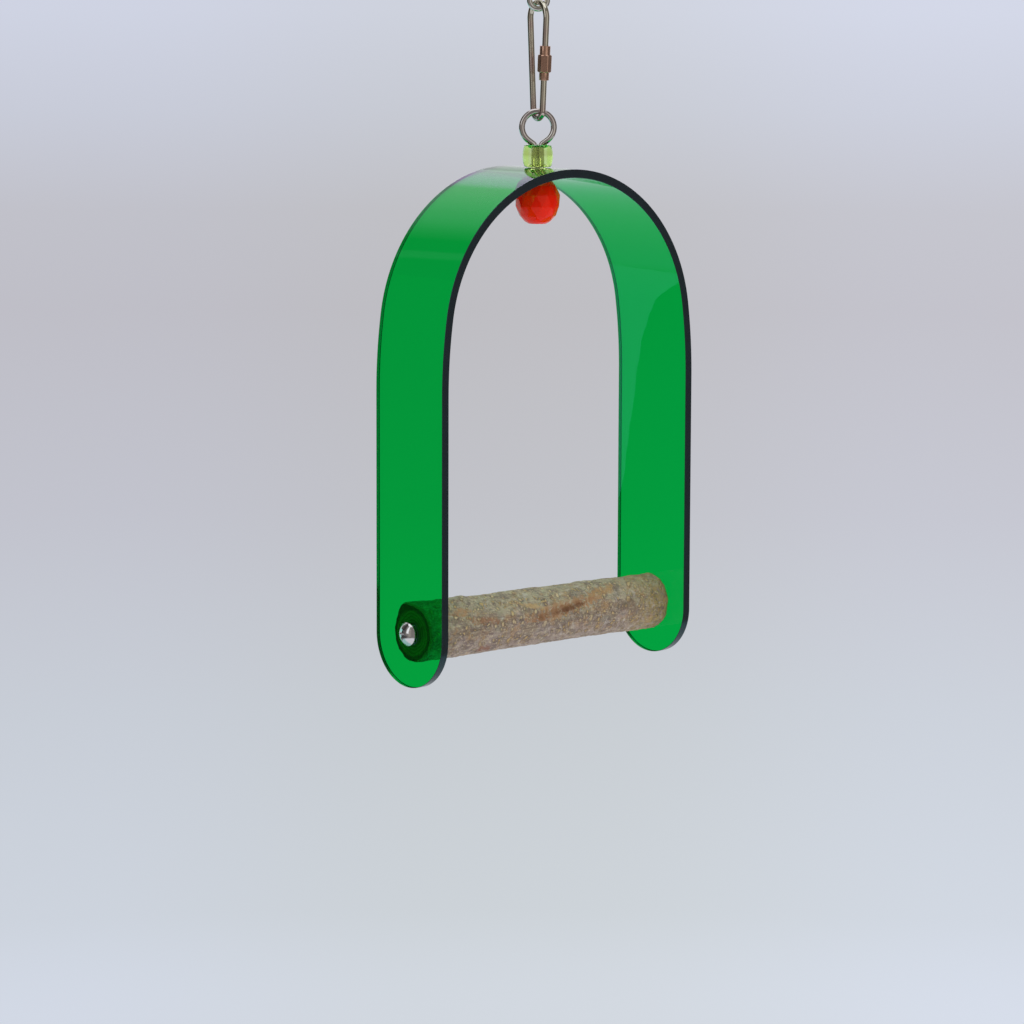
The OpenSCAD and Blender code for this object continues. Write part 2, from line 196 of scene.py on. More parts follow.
def mesh_object(name, points, faces, materials=(), kinds=None, sharp=None):
    """A smooth mesh object. kinds picks a material per face, and edges past the sharp angle stay."""
    mesh = bpy.data.meshes.new(name)
    mesh.from_pydata([tuple(p) for p in points], [], faces)
    mesh.update()
    mesh.shade_smooth()
    for material in materials:
        mesh.materials.append(material)
    if kinds is not None:
        mesh.polygons.foreach_set("material_index", kinds)
    if sharp is not None:
        mesh.set_sharp_from_angle(angle=math.radians(sharp))
    made = bpy.data.objects.new(name, mesh)
    bpy.context.scene.collection.objects.link(made)
    return made


def mesh_piece(name, points, faces, body, replaced, materials, kinds=None, sharp=None):
    """A mesh object that rides on a body and stands for one CAD node."""
    piece = mesh_object(name, points, faces, materials, kinds, sharp)
    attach(piece, body)
    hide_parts(replaced)
    return piece


def mark_faces(piece, attribute, values):
    """Keeps a number per face for the materials to read."""
    piece.data.attributes.new(attribute, "FLOAT", "FACE").data.foreach_set("value", values)


def carve(piece, cutter, sharp):
    """Takes the cutter's volume out of the piece's mesh."""
    cut = piece.modifiers.new("cut", "BOOLEAN")
    cut.object = cutter
    cut.operation = "DIFFERENCE"
    cut.solver = "EXACT"
    bpy.context.view_layer.update()
    graph = bpy.context.evaluated_depsgraph_get()
    shaped = bpy.data.meshes.new_from_object(piece.evaluated_get(graph))
    shaped.name = piece.name
    piece.modifiers.clear()
    piece.data = shaped
    shaped.shade_smooth()
    shaped.set_sharp_from_angle(angle=math.radians(sharp))
    bpy.data.objects.remove(cutter)


def arc(x, z, r, a, b, steps):
    """Points on a circle from angle a to angle b, in degrees."""
    t = np.radians(np.linspace(a, b, steps + 1))
    return np.column_stack([x + r * np.cos(t), z + r * np.sin(t)])


def line(p, q, steps):
    """Points from p to q."""
    t = np.linspace(0, 1, steps + 1)[:, None]
    return np.asarray(p) * (1 - t) + np.asarray(q) * t


def joined(*runs):
    """Runs of points end to end, each shared end kept once."""
    return np.vstack([runs[0]] + [r[1:] for r in runs[1:]])


def round_angles(sides):
    """Angles once round, in radians."""
    return np.linspace(0, 2 * math.pi, sides, endpoint=False)


def loft(rings, looped=False, capped=False):
    """Points and faces of a surface through closed rings of points, [ring, place on it, xyz]."""
    n, m = rings.shape[:2]
    spans = n if looped else n - 1
    faces = [(i * m + j, i * m + (j + 1) % m, (i + 1) % n * m + (j + 1) % m, (i + 1) % n * m + j)
             for i in range(spans) for j in range(m)]
    if capped:
        faces += [tuple(range(m - 1, -1, -1)), tuple(range((n - 1) * m, n * m))]
    return rings.reshape(-1, 3), faces


def wire(path, radius, turn, looped=False):
    """Rings of a round wire along a line of (across, up) in the upright plane that `turn` gives.
    radius is one number, one per point, or one per point and place round the wire."""
    a = math.radians(turn)
    across = np.array([math.cos(a), math.sin(a), 0])
    face = np.array([-math.sin(a), math.cos(a), 0])
    up = np.array([0, 0, 1.0])
    if looped:
        way = np.roll(path, -1, 0) - np.roll(path, 1, 0)
    else:
        way = np.gradient(path, axis=0)
    way /= np.linalg.norm(way, axis=1)[:, None]
    side = np.outer(-way[:, 1], across) + np.outer(way[:, 0], up)
    middle = np.outer(path[:, 0], across) + np.outer(path[:, 1], up)
    if np.ndim(radius) < 2:
        radius = np.reshape(radius, (-1, 1))
    r = np.broadcast_to(radius, (len(path), WIRE_SIDES))[:, :, None]
    t = round_angles(WIRE_SIDES)
    spokes = side[:, None] * np.cos(t)[None, :, None] - face[None, None] * np.sin(t)[None, :, None]
    return middle[:, None] + r * spokes


def turned(heights, radii, sides):
    """Rings about the Z axis. radii holds one number per height, or one per height and side."""
    t = round_angles(sides)
    r = np.broadcast_to(np.asarray(radii, float).reshape(len(heights), -1), (len(heights), sides))
    z = np.broadcast_to(np.asarray(heights, float)[:, None], r.shape)
    return np.stack([r * np.cos(t), r * np.sin(t), z], axis=2)


class Nodes:
    """Adds nodes to one tree: a socket given as an input is linked, and any other value is set."""

    def __init__(self, tree):
        self.tree = tree

    def put(self, node, inputs):
        for key, value in inputs.items():
            socket = node.inputs[key if isinstance(key, int) else key.replace("_", " ")]
            if isinstance(value, bpy.types.NodeSocket):
                self.tree.links.new(value, socket)
            elif socket.type == "RGBA" and len(value) == 3:
                socket.default_value = (*value, 1)
            else:
                socket.default_value = value

    def node(self, kind, inputs=None, **settings):
        made = self.tree.nodes.new(kind)
        for key, value in settings.items():
            setattr(made, key, value)
        self.put(made, inputs or {})
        return made

    def math(self, operation, a, b=0.0):
        return self.node("ShaderNodeMath", {0: a, 1: b}, operation=operation).outputs[0]

    def plus(self, a, b):
        return self.math("ADD", a, b)

    def less(self, a, b):
        return self.math("SUBTRACT", a, b)

    def times(self, a, b):
        return self.math("MULTIPLY", a, b)

    def vector(self, operation, a, b):
        return self.node("ShaderNodeVectorMath", {0: a, 1: b}, operation=operation).outputs[0]

    def dot(self, a, b):
        made = self.node("ShaderNodeVectorMath", {0: a, 1: tuple(b)}, operation="DOT_PRODUCT")
        return made.outputs["Value"]

    def split(self, vector):
        return self.node("ShaderNodeSeparateXYZ", {0: vector}).outputs

    def ramp(self, value, low, high, to_low=0.0, to_high=1.0):
        """A soft step from to_low to to_high between the values low and high."""
        limits = {"From_Min": low, "From_Max": high, "To_Min": to_low, "To_Max": to_high}
        made = self.node("ShaderNodeMapRange", {"Value": value, **limits},
                         interpolation_type="SMOOTHSTEP")
        return made.outputs["Result"]

    def mix(self, share, a, b):
        made = self.node("ShaderNodeMix", {"Factor": share, 6: a, 7: b}, data_type="RGBA")
        return made.outputs[2]

    def stops(self, value, places):
        """Colours blended between places from 0 to 1 along a value."""
        made = self.node("ShaderNodeValToRGB", {"Fac": value})
        marks = made.color_ramp.elements
        while len(marks) < len(places):
            marks.new(0.5)
        for mark, (place, colour) in zip(marks, places):
            mark.position = place
            mark.color = (*colour, 1)
        return made.outputs["Color"]


class Shader(Nodes):
    """Builds one material around its principled surface."""

    def __init__(self, name, **settings):
        self.material = bpy.data.materials.new(name)
        self.material.use_nodes = True
        super().__init__(self.material.node_tree)
        self.surface = self.tree.nodes["Principled BSDF"]
        self.output = self.tree.nodes["Material Output"]
        self.put(self.surface, settings)
        self.place = self.node("ShaderNodeTexCoord").outputs["Object"]

    def stretched(self, scale, centre=(0, 0, 0)):
        """Object coordinates less a centre, times a scale per axis, in periods per metre."""
        return self.vector("MULTIPLY", self.vector("SUBTRACT", self.place, centre), scale)

    def noise(self, scale, detail=3, rough=0.5, vector=None, twist=0):
        return self.node("ShaderNodeTexNoise", {
            "Vector": vector or self.place, "Scale": scale, "Detail": detail,
            "Roughness": rough, "Distortion": twist}).outputs["Fac"]

    def attribute(self, name):
        return self.node("ShaderNodeAttribute", attribute_name=name).outputs["Fac"]

    def bump(self, height, distance, strength=1.0, under=None):
        inputs = {"Height": height, "Distance": distance, "Strength": strength}
        if under:
            inputs["Normal"] = under
        return self.node("ShaderNodeBump", inputs).outputs["Normal"]

    def link(self, **inputs):
        self.put(self.surface, inputs)
        return self.material


def clear_plastic(name, density, let_through, waviness, clarity=1.0, tint=WHITE, body=WHITE):
    """See-through plastic coloured by its depth, with faint flow marks and rubbed spots."""
    s = Shader(name, Base_Color=body, Transmission_Weight=clarity, IOR=1.49, Specular_Tint=tint)
    depth = s.node("ShaderNodeVolumeAbsorption", {"Color": let_through, "Density": density})
    s.tree.links.new(depth.outputs[0], s.output.inputs["Volume"])
    rubbed = s.ramp(s.noise(700, 4, 0.7), 0.62, 0.8, 0.01, 0.06)
    s.link(Roughness=rubbed, Normal=s.bump(s.noise(60, 1), waviness, 0.5))
    return s


def sawn_edges(s):
    """Faces marked sawn are less clear and less smooth than the sheet's own faces, and near-black grey:
    painted shade for the dark that a long path through the sheet gives them.
    """
    sawn = s.attribute("sawn")
    marks = s.noise(1, 3, 0.6, s.stretched((160, 1500, 160)))
    # Near-black painted shade on the sawn faces, varied by faint saw marks
    body = s.mix(marks, (0.025, 0.023, 0.025), (0.032, 0.030, 0.032))
    rough = s.ramp(s.noise(300, 3), 0.3, 0.7, 0.14, 0.22)
    sheet_rough = s.surface.inputs["Roughness"].links[0].from_socket
    s.link(Base_Color=s.mix(sawn, WHITE, body),
           Transmission_Weight=s.ramp(sawn, 0, 1, 1.0, 0.42),
           Roughness=s.plus(sheet_rough, s.times(sawn, rough)))


def steel(name, colour, tarnish, rough, spots=0.35, draw=(1, 1, 1), cast=None):
    """Bright plated steel with a little tarnish, fine drawing marks and a second cast in places."""
    s = Shader(name, Metallic=1.0)
    stain = s.ramp(s.noise(260, 4, 0.6), 0.45, 0.75, 0.0, spots)
    fine = s.noise(1, 3, 0.55, s.stretched(tuple(700 * d for d in draw)))
    plate = s.mix(s.ramp(s.noise(75, 2), 0.42, 0.60), colour, cast or colour)
    return s.link(Base_Color=s.mix(stain, plate, tarnish),
                  Roughness=s.ramp(fine, 0.3, 0.75, rough, rough + 0.06),
                  Normal=s.bump(fine, 0.01 * MM, 0.2))


class Bark(Shader):
    """The places and noises that the layers of the bark share."""

    def __init__(self, axis_z):
        super().__init__("bark", Specular_IOR_Level=0.3)
        self.x, y, z = self.split(self.vector("SUBTRACT", self.place, (0, 0, axis_z)))
        self.girth = self.times(self.math("ARCTAN2", z, y), PERCH_D / 2)
        self.broad = self.noise(110, 4, 0.6)
        self.grain = self.noise(800, 5, 0.7)
        self.speck = self.noise(1900, 3, 0.65)
        self.fibre = self.noise(1, 4, 0.7, self.stretched((230, 2100, 2100)), 0.3)
        self.torn = self.noise(430, 6, 0.78, twist=0.6)
        # From -1 on the underside to 1 on top, with a ragged border
        ragged = self.ramp(self.broad, 0.3, 0.7, -0.45, 0.45)
        self.height = self.plus(self.times(z, 2 / PERCH_D), ragged)

    def elsewhere(self, scale, rough, twist, x=0, y=0):
        """Noise from another place, so that it doesn't follow the other layers."""
        return self.noise(scale, 4, rough, self.stretched((1, 1, 1), (x, y, 0)), twist)


def bark_ground(s):
    """The base colours, and over them stains, fibres, grain and specks."""
    colour = s.mix(s.ramp(s.height, -0.55, 0.0), (0.318, 0.248, 0.211), (0.236, 0.175, 0.123))
    # The lighter grey-green on top is partly the bark's tone and partly painted light from above
    colour = s.mix(s.ramp(s.height, 0.05, 0.6), colour, (0.368, 0.314, 0.216))
    fine = s.noise(900, 4, 0.7, s.stretched((1, 1, 1), (0, 0, 0.13)))
    for noise, low, high, share, tint in (
            (s.elsewhere(210, 0.65, 0.4, x=0.05), 0.50, 0.66, 0.7, (0.38, 0.22, 0.09)),
            (s.elsewhere(240, 0.65, 0.5, x=0.11), 0.53, 0.70, 0.5, (0.240, 0.245, 0.19)),
            (s.elsewhere(200, 0.7, 0.5, y=0.07), 0.48, 0.62, 0.7, (0.150, 0.102, 0.088)),
            (s.elsewhere(260, 0.7, 0.3, y=0.19), 0.54, 0.70, 0.7, (0.50, 0.44, 0.38)),
            (s.fibre, 0.54, 0.70, 0.75, (0.50, 0.42, 0.29)),
            (s.fibre, 0.46, 0.32, 0.75, (0.13, 0.12, 0.105)),
            (s.grain, 0.60, 0.78, 0.6, (0.085, 0.060, 0.042)),
            (fine, 0.53, 0.70, 0.8, (0.56, 0.46, 0.30)),
            (s.speck, 0.58, 0.70, 0.5, (0.62, 0.54, 0.42)),
            (s.speck, 0.40, 0.28, 0.5, (0.08, 0.06, 0.045))):
        colour = s.mix(s.ramp(noise, low, high, 0.0, share), colour, tint)
    return colour


def bark_warts(s):
    """Where the pale warts are and where their shade is: three sizes, most of them in rows."""
    wander = s.ramp(s.noise(300, 2), 0.2, 0.8, -0.16, 0.16)
    along = s.plus(s.times(s.x, 270), wander)
    about = s.less(s.times(s.girth, 210), wander)
    flat = s.node("ShaderNodeCombineXYZ", {0: along, 1: about, 2: 0.0}).outputs[0]
    row = s.math("SINE", s.plus(s.times(s.girth, 900), s.times(s.x, 30)))
    wart, shade = 0.0, 0.0
    for scale, keep, small, large in (
            (1.0, 0.42, 0.12, 0.20), (1.5, 0.58, 0.12, 0.21), (2.3, 0.78, 0.13, 0.22)):
        cells = s.node("ShaderNodeTexVoronoi", {"Vector": flat, "Scale": scale, "Randomness": 0.9},
                       voronoi_dimensions="2D").outputs
        drawn = s.node("ShaderNodeSeparateColor", {0: cells["Color"]}).outputs
        ragged = s.plus(cells["Distance"], s.ramp(s.speck, 0.2, 0.8, -0.06, 0.06))
        past = s.less(ragged, s.ramp(drawn[1], 0.0, 1.0, small, large))
        kept = s.math("GREATER_THAN", s.plus(drawn[0], s.times(row, 0.18)), keep)
        wart = s.math("MAXIMUM", wart, s.times(s.ramp(past, -0.07, 0.04, 1.0, 0.0), kept))
        shade = s.math("MAXIMUM", shade, s.times(s.ramp(past, 0.04, 0.24, 1.0, 0.0), kept))
    return wart, shade


def bark_patch(s, cx, angle, half_long, half_round, slant, edge):
    """1 inside a ragged oval on the bark and 0 outside, with its middle at cx mm along."""
    du = s.less(s.x, cx * MM)
    dv = s.less(s.girth, math.radians(angle) * PERCH_D / 2)
    dv = s.less(dv, s.times(du, slant))
    u = s.math("DIVIDE", du, half_long * MM)
    v = s.math("DIVIDE", dv, half_round * MM)
    far = s.plus(s.times(u, u), s.times(v, v))
    far = s.plus(far, s.ramp(s.torn, 0.3, 0.7, -edge, edge))
    return s.times(s.ramp(far, 0.0, 1.1, 1.0, 0.0), s.ramp(s.grain, 0.30, 0.55, 0.65, 1.0))


def bark_scars(s, colour):
    """The long scar with its paler upper lip, and smaller ones, on the side to the camera."""
    for place, tint, share in (
            ((-9, 145, 10, 1.3, 0.33, 0.9), (0.47, 0.31, 0.145), 0.85),
            ((22, 141, 10, 2.4, -0.3, 1.2), (0.44, 0.25, 0.10), 0.75),
            ((5, 159, 20, 3.0, -0.14, 1.1), (0.37, 0.205, 0.10), 0.85),
            ((4, 162, 15, 1.9, -0.15, 0.7), (0.24, 0.115, 0.05), 0.9),
            ((8, 161, 9, 1.1, -0.15, 0.5), (0.135, 0.055, 0.025), 0.8),
            ((-33, 163, 8, 1.8, 0.1, 1.2), (0.27, 0.12, 0.055), 0.7),
            ((-41, 139, 5, 1.8, 0, 1.2), (0.40, 0.20, 0.085), 0.75),
            ((35, 172, 6, 3.0, 0, 1.2), (0.15, 0.10, 0.07), 0.55),
            ((-37, 186, 6, 2.6, 0, 1.2), (0.17, 0.12, 0.085), 0.5),
            ((-31, -134, 3.2, 2.0, 0, 1.0), (0.21, 0.085, 0.05), 0.8)):
        colour = s.mix(s.times(bark_patch(s, *place), share), colour, tint)
    return colour


def bark_ends(s, colour):
    """A tan right end, and the rim where the bark is cut back to the wood."""
    tan = s.times(s.ramp(s.x, 34 * MM, 50 * MM, 0.0, 0.75), s.ramp(s.grain, 0.4, 0.62))
    colour = s.mix(tan, colour, (0.36, 0.26, 0.085))
    ragged = s.ramp(s.grain, 0.2, 0.8, -0.5 * MM, 0.5 * MM)
    end = s.less(s.math("ABSOLUTE", s.x), ragged)
    half_len = float(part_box("perch")[1].x)
    rim = s.ramp(end, half_len - 1.3 * MM, half_len - 0.4 * MM, 0.0, 0.8)
    return s.mix(rim, colour, (0.42, 0.24, 0.09))


def bark(axis_z):
    """Smooth young bark: grey-green and lighter above, partly as painted light from above, pinkish below,
    with tan warts and a brown scar.
    """
    s = Bark(axis_z)
    wart, shade = bark_warts(s)
    colour = s.mix(s.times(shade, 0.36), bark_ground(s), (0.115, 0.080, 0.050))
    pale = s.mix(s.ramp(s.broad, 0.4, 0.6), (0.60, 0.47, 0.28), (0.50, 0.34, 0.15))
    upper = s.ramp(s.height, -0.7, 0.0, 0.3, 0.88)
    colour = s.mix(s.times(wart, upper), colour, pale)
    colour = bark_ends(s, bark_scars(s, colour))
    relief = s.bump(s.plus(s.times(s.fibre, 0.7), s.broad), 0.4 * MM)
    relief = s.bump(s.plus(s.grain, s.times(wart, 0.9)), 0.35 * MM, under=relief)
    rough = s.ramp(s.grain, 0.3, 0.7, 0.62, 0.85)
    return s.link(Base_Color=colour, Roughness=rough, Normal=relief)


def cut_wood(axis_z):
    """The sawn end of the branch: rings round a small pith."""
    s = Shader("cut_wood", Specular_IOR_Level=0.3)
    at = s.vector("SUBTRACT", s.place, (0, 0, axis_z))
    flat = s.vector("MULTIPLY", at, (0, 1, 1))
    far = s.node("ShaderNodeVectorMath", {0: flat}, operation="LENGTH").outputs["Value"]
    wavy = s.plus(far, s.ramp(s.noise(120, 3), 0.3, 0.7, -0.4 * MM, 0.4 * MM))
    rings = s.math("SINE", s.times(wavy, 2 * math.pi / (1.1 * MM)))
    colour = s.mix(s.ramp(rings, -0.6, 1.0), (0.52, 0.36, 0.19), (0.36, 0.22, 0.11))
    colour = s.mix(s.ramp(far, 0.6 * MM, 1.1 * MM, 0.9, 0.0), colour, (0.16, 0.09, 0.05))
    colour = s.mix(s.ramp(far, 7.6 * MM, 8.6 * MM), colour, (0.15, 0.09, 0.055))
    grain = s.noise(2500, 3)
    return s.link(Base_Color=colour, Roughness=s.ramp(grain, 0.3, 0.7, 0.6, 0.8),
                  Normal=s.bump(grain, 0.08 * MM, 0.5))


class Bend:
    """The arch's bend: crown, haunches and legs, with their lengths along the flat strip."""

    def __init__(self):
        low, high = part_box("arch")
        self.half_w, self.half_depth = high.x, high.y
        crown_r = self.half_w - CROWN_EASE
        rise = math.sqrt((HAUNCH_R - crown_r) ** 2 - (HAUNCH_R - self.half_w) ** 2)
        self.angle = math.asin(rise / (HAUNCH_R - crown_r))
        self.crown_z = high.z - crown_r
        self.spring_z = high.z - crown_r - rise
        self.crown_mid = crown_r - STRIP_T / 2
        self.haunch_mid = HAUNCH_R - STRIP_T / 2
        self.crown_run = self.crown_mid * (math.pi / 2 - self.angle)
        self.haunch_run = self.crown_run + self.haunch_mid * self.angle
        self.leg_run = self.haunch_run + self.spring_z - (low.z + self.half_depth)
        self.screw_run = self.haunch_run + self.spring_z - (low.z + PERCH_UP)
        self.stations = np.concatenate([
            np.linspace(0, self.crown_run, 60), np.linspace(self.crown_run, self.haunch_run, 14)[1:],
            np.linspace(self.haunch_run, self.leg_run, 16)[1:]])

    def bent(self, flat, out):
        """Bent places of flat (along, across), at a distance outwards from the strip's middle."""
        s, y = np.abs(flat[:, 0]), flat[:, 1]
        crown = math.pi / 2 - s / self.crown_mid
        haunch = self.angle - (s - self.crown_run) / self.haunch_mid
        crown_r, haunch_r = self.crown_mid + out, self.haunch_mid + out
        on_crown, on_haunch = s < self.crown_run, s < self.haunch_run
        haunch_x = self.half_w - HAUNCH_R + haunch_r * np.cos(haunch)
        haunch_z = self.spring_z + haunch_r * np.sin(haunch)
        leg_x, leg_z = self.half_w - STRIP_T / 2 + out, self.spring_z - (s - self.haunch_run)
        x = np.where(on_crown, crown_r * np.cos(crown), np.where(on_haunch, haunch_x, leg_x))
        z = np.where(on_crown, self.crown_z + crown_r * np.sin(crown), np.where(on_haunch, haunch_z, leg_z))
        return np.column_stack([np.copysign(x, flat[:, 0]), y, z])

    def outline(self, inset):
        """The flat strip's outline with its half-round ends, drawn in by the inset."""
        w = self.half_depth - inset
        side = np.column_stack([self.stations, np.full(len(self.stations), w)])
        right = joined(side * (1, -1), arc(self.leg_run, 0, w, -90, 90, 48), side[::-1])
        return np.vstack([right, right[1:-1][::-1] * (-1, 1)])


def flat_layout(bend, holes, rims):
    """The flat strip's points, those of the rims first, and its triangles outside the holes."""
    grid = [(s * side, y) for s in bend.stations for side in (1, -1)
            for y in np.linspace(-0.8, 0.8, 9) * bend.half_depth if not (s == 0 and side < 0)]
    grid += [tuple(p) for s, r in holes for far in (0.7 * MM, 1.6 * MM)
             for p in arc(s, 0, r + far, 0, 345, 23)]
    clear = [p for p in grid if all(math.hypot(p[0] - s, p[1]) > r + 0.6 * MM for s, r in holes)]
    ends = np.cumsum([0] + [len(r) for r in rims])
    edges = [(a + i, a + (i + 1) % (b - a)) for a, b in zip(ends, ends[1:]) for i in range(b - a)]
    flat = [Vector(p) for r in rims for p in r] + [Vector(p) for p in clear]
    strip = [tuple(range(len(rims[0])))]
    laid, _, parts, *_ = delaunay_2d_cdt(flat, edges, strip, 1, 1e-7)
    if len(laid) != len(flat):
        raise ValueError("the flat layout gained or lost points")
    laid = np.array([tuple(p) for p in laid])
    middle = [laid[list(f)].mean(0) for f in parts]
    solid = [tuple(f) for f, m in zip(parts, middle)
             if all(math.hypot(m[0] - s, m[1]) > r for s, r in holes)]
    return laid, solid


def arch_mesh():
    """The strip is laid out flat as (along, across), cut and holed there, and then bent."""
    bend = Bend()
    holes = ((0, PIN_HOLE_R), (bend.screw_run, SCREW_HOLE_R), (-bend.screw_run, SCREW_HOLE_R))
    loops = [bend.outline]
    loops += [lambda inset, s=s, r=r: arc(s, 0, r + inset, 360, 7.5, 47) for s, r in holes]
    rims = [loop(EDGE_ROUND) for loop in loops]
    laid, parts = flat_layout(bend, holes, rims)
    half_t, part_round = STRIP_T / 2, 0.3 * EDGE_ROUND
    levels = ((part_round, half_t - part_round), (0, half_t - EDGE_ROUND),
              (0, EDGE_ROUND - half_t), (part_round, part_round - half_t))
    points = [bend.bent(laid, half_t), bend.bent(laid, -half_t)]
    count = len(laid)
    faces = parts + [tuple(count + i for i in reversed(f)) for f in parts]
    sawn = [0.0] * len(faces)
    first, start = 0, 2 * count
    for loop, rim in zip(loops, rims):
        size = len(rim)
        rows = [np.arange(size) + first]
        for inset, out in levels:
            points.append(bend.bent(loop(inset), out))
            rows.append(np.arange(size) + start)
            start += size
        rows.append(np.arange(size) + count + first)
        first += size
        for upper, lower in zip(rows, rows[1:]):
            quads = np.stack([upper, lower, np.roll(lower, -1), np.roll(upper, -1)], axis=1)
            faces += [tuple(q) for q in quads.tolist()]
            sawn += [1.0] * size
    return np.vstack(points), faces, sawn


def make_arch():
    points, faces, sawn = arch_mesh()
    green = clear_plastic("green_acrylic", 2240, (0, 0.9386, 0.678), 0.02 * MM, tint=(0.12, 0.8, 1))
    sawn_edges(green)
    piece = mesh_piece("acrylic_arch", points, faces, "swing", "arch",
                       (green.material,), sharp=20)
    mark_faces(piece, "sawn", sawn)


def value_noise(u, v, cells, seed):
    """Smooth noise from -1 to 1 over u and v in 0 to 1, which closes on itself along v."""
    draw = np.random.default_rng(seed).uniform(-1, 1, (cells[0] + 2, cells[1]))
    a, b = u * cells[0], (v % 1) * cells[1]
    i, j = np.floor(a).astype(int), np.floor(b).astype(int)
    a, b = a - i, b - j
    a, b = a * a * (3 - 2 * a), b * b * (3 - 2 * b)
    k = (j + 1) % cells[1]
    j = j % cells[1]
    here = draw[i, j] * (1 - b) + draw[i, k] * b
    there = draw[i + 1, j] * (1 - b) + draw[i + 1, k] * b
    return here * (1 - a) + there * a


def bark_radius(x, angle):
    """The branch's radius at a share of its half length and an angle in degrees, as on the solid."""
    share = np.ones(np.broadcast(x, angle).shape)
    for height, count, twist, start in WAVE_SHARES:
        share = share + height * np.sin(np.radians(count * angle + twist * x + start))
    for at, about, height, spread, width in KNOT_SHARES:
        turn = (((angle - about + 540) % 360) - 180) / width
        share = share + height * np.exp(-(((x - at) / spread) ** 2) - turn ** 2)
    return PERCH_D / 2 * share


def rough_radius(xs, angles, half):
    """The solid's radius with the bark's relief, the small knot and the bevelled ends."""
    r = bark_radius(xs / half, angles)
    u, v = (xs / half + 1) / 2, angles / 360
    for height, cells, seed in RELIEF:
        r = r + height * MM * value_noise(u, v, cells, seed)
    at, about, height, spread, width = SMALL_KNOT
    r = r + height * np.exp(-((xs - at) / spread) ** 2 - ((angles - about) / width) ** 2)
    near_end = np.clip((half - np.abs(xs)) / PERCH_BEVEL, 0, 1)
    return r - PERCH_BEVEL_DEPTH * (1 - np.sin(near_end * math.pi / 2))


def make_perch():
    """The branch along X, with rings of cut wood on both end faces."""
    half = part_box("perch")[1].x - PERCH_END_GAP
    axis_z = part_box("arch")[0].z + PERCH_UP
    inner = np.linspace(-half + PERCH_BEVEL, half - PERCH_BEVEL, 270)
    bevel = np.linspace(0, 1, 9)[:-1]
    x = np.concatenate([-half + PERCH_BEVEL * bevel, inner, half - PERCH_BEVEL * bevel[::-1]])
    angle = np.linspace(0, 360, PERCH_SIDES, endpoint=False)
    xs, angles = np.meshgrid(x, angle, indexing="ij")
    r, t = rough_radius(xs, angles, half), np.radians(angles)
    rings = np.stack([xs, r * np.cos(t), axis_z + r * np.sin(t)], axis=2)
    shares = (0.0005, 0.3, 0.65, 0.93, 0.985)
    left_mid, right_mid = np.array([-half, 0, axis_z]), np.array([half, 0, axis_z])
    left = [left_mid + (rings[0] - left_mid) * (1, c, c) for c in shares]
    right = [right_mid + (rings[-1] - right_mid) * (1, c, c) for c in reversed(shares)]
    points, faces = loft(np.concatenate([left, rings, right]), capped=True)
    kinds = np.zeros(len(faces), int)
    kinds[:len(shares) * PERCH_SIDES] = 1
    kinds[-len(shares) * PERCH_SIDES - 2:] = 1
    mesh_piece("bark_branch", points, faces, "swing", "perch",
               (bark(axis_z), cut_wood(axis_z)), kinds, sharp=50)


def eye_pin_path():
    """The pin's middle line, from one spread tip up round the eye to the other."""
    low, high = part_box("eye_pin")
    eye_r = (EYE_D - PIN_WIRE) / 2
    eye_z = high.z - EYE_D / 2
    leg_x = (PIN_WIRE + LEG_GAP) / 2
    n, w = math.radians(NECK_ANGLE), math.radians(SPREAD_ANGLE)
    neck_x, neck_z = eye_r * math.sin(n), eye_z - eye_r * math.cos(n)
    neck_len = (neck_x - NECK_R * (1 - math.sin(n)) - leg_x) / math.cos(n)
    fold_x, fold_z = neck_x - neck_len * math.cos(n), neck_z - neck_len * math.sin(n)
    leg_top = fold_z - NECK_R * math.cos(n)
    tip_z = low.z + PIN_WIRE / 2 * math.sin(w)
    spread_z = tip_z + SPREAD_LEN * math.cos(w)
    spread_x = leg_x + SPREAD_R * (1 - math.cos(w))
    leg_low = spread_z + SPREAD_R * math.sin(w)
    tip_x = spread_x + SPREAD_LEN * math.sin(w)
    right = joined(
        line((tip_x, tip_z), (spread_x, spread_z), 5),
        arc(leg_x + SPREAD_R, leg_low, SPREAD_R, 180 + SPREAD_ANGLE, 180, 8),
        line((leg_x, leg_low), (leg_x, leg_top), 14),
        arc(leg_x + NECK_R, leg_top, NECK_R, 180, 90 + NECK_ANGLE, 10),
        line((fold_x, fold_z), (neck_x, neck_z), 2),
        arc(0, eye_z, eye_r, NECK_ANGLE - 90, 90, 44))
    return joined(right, right[::-1] * (-1, 1))


def make_eye_pin(metal):
    path = eye_pin_path()
    # Closer points at each tip, so that the rounded end is short
    path = np.vstack([path[:1], line(path[0], path[1], 6)[1:], path[2:-2],
                      line(path[-2], path[-1], 6)[:-1], path[-1:]])
    radii = np.full(len(path), PIN_WIRE / 2)
    for i, share in enumerate((1, 0.25)):
        radii[i] = radii[-1 - i] = PIN_WIRE / 2 - PIN_TIP_DROP * share
    points, faces = loft(wire(path, radii, EYE_TURN), capped=True)
    mesh_piece("eye_wire", points, faces, "pin", "eye_pin", (metal,), sharp=50)


def link_frame():
    """The screw-gate link's bends and taper, and a function that gives places up its gate leg."""
    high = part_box("screw_link")[1].z
    top_r, low_r = (LINK_TOP_W - LINK_WIRE) / 2, (LINK_LOW_W - LINK_WIRE) / 2
    top_mid = high - LINK_WIRE / 2 - top_r
    low_mid = high - LINK_LEN + LINK_WIRE / 2 + low_r
    taper = math.asin((top_r - low_r) / (top_mid - low_mid))
    leg = (top_mid - low_mid) * math.cos(taper)

    def gate(s):
        across = low_r * math.cos(taper) + s * math.sin(taper)
        return across, low_mid - low_r * math.sin(taper) + s * math.cos(taper)

    return top_r, low_r, top_mid, low_mid, leg, math.degrees(taper), gate


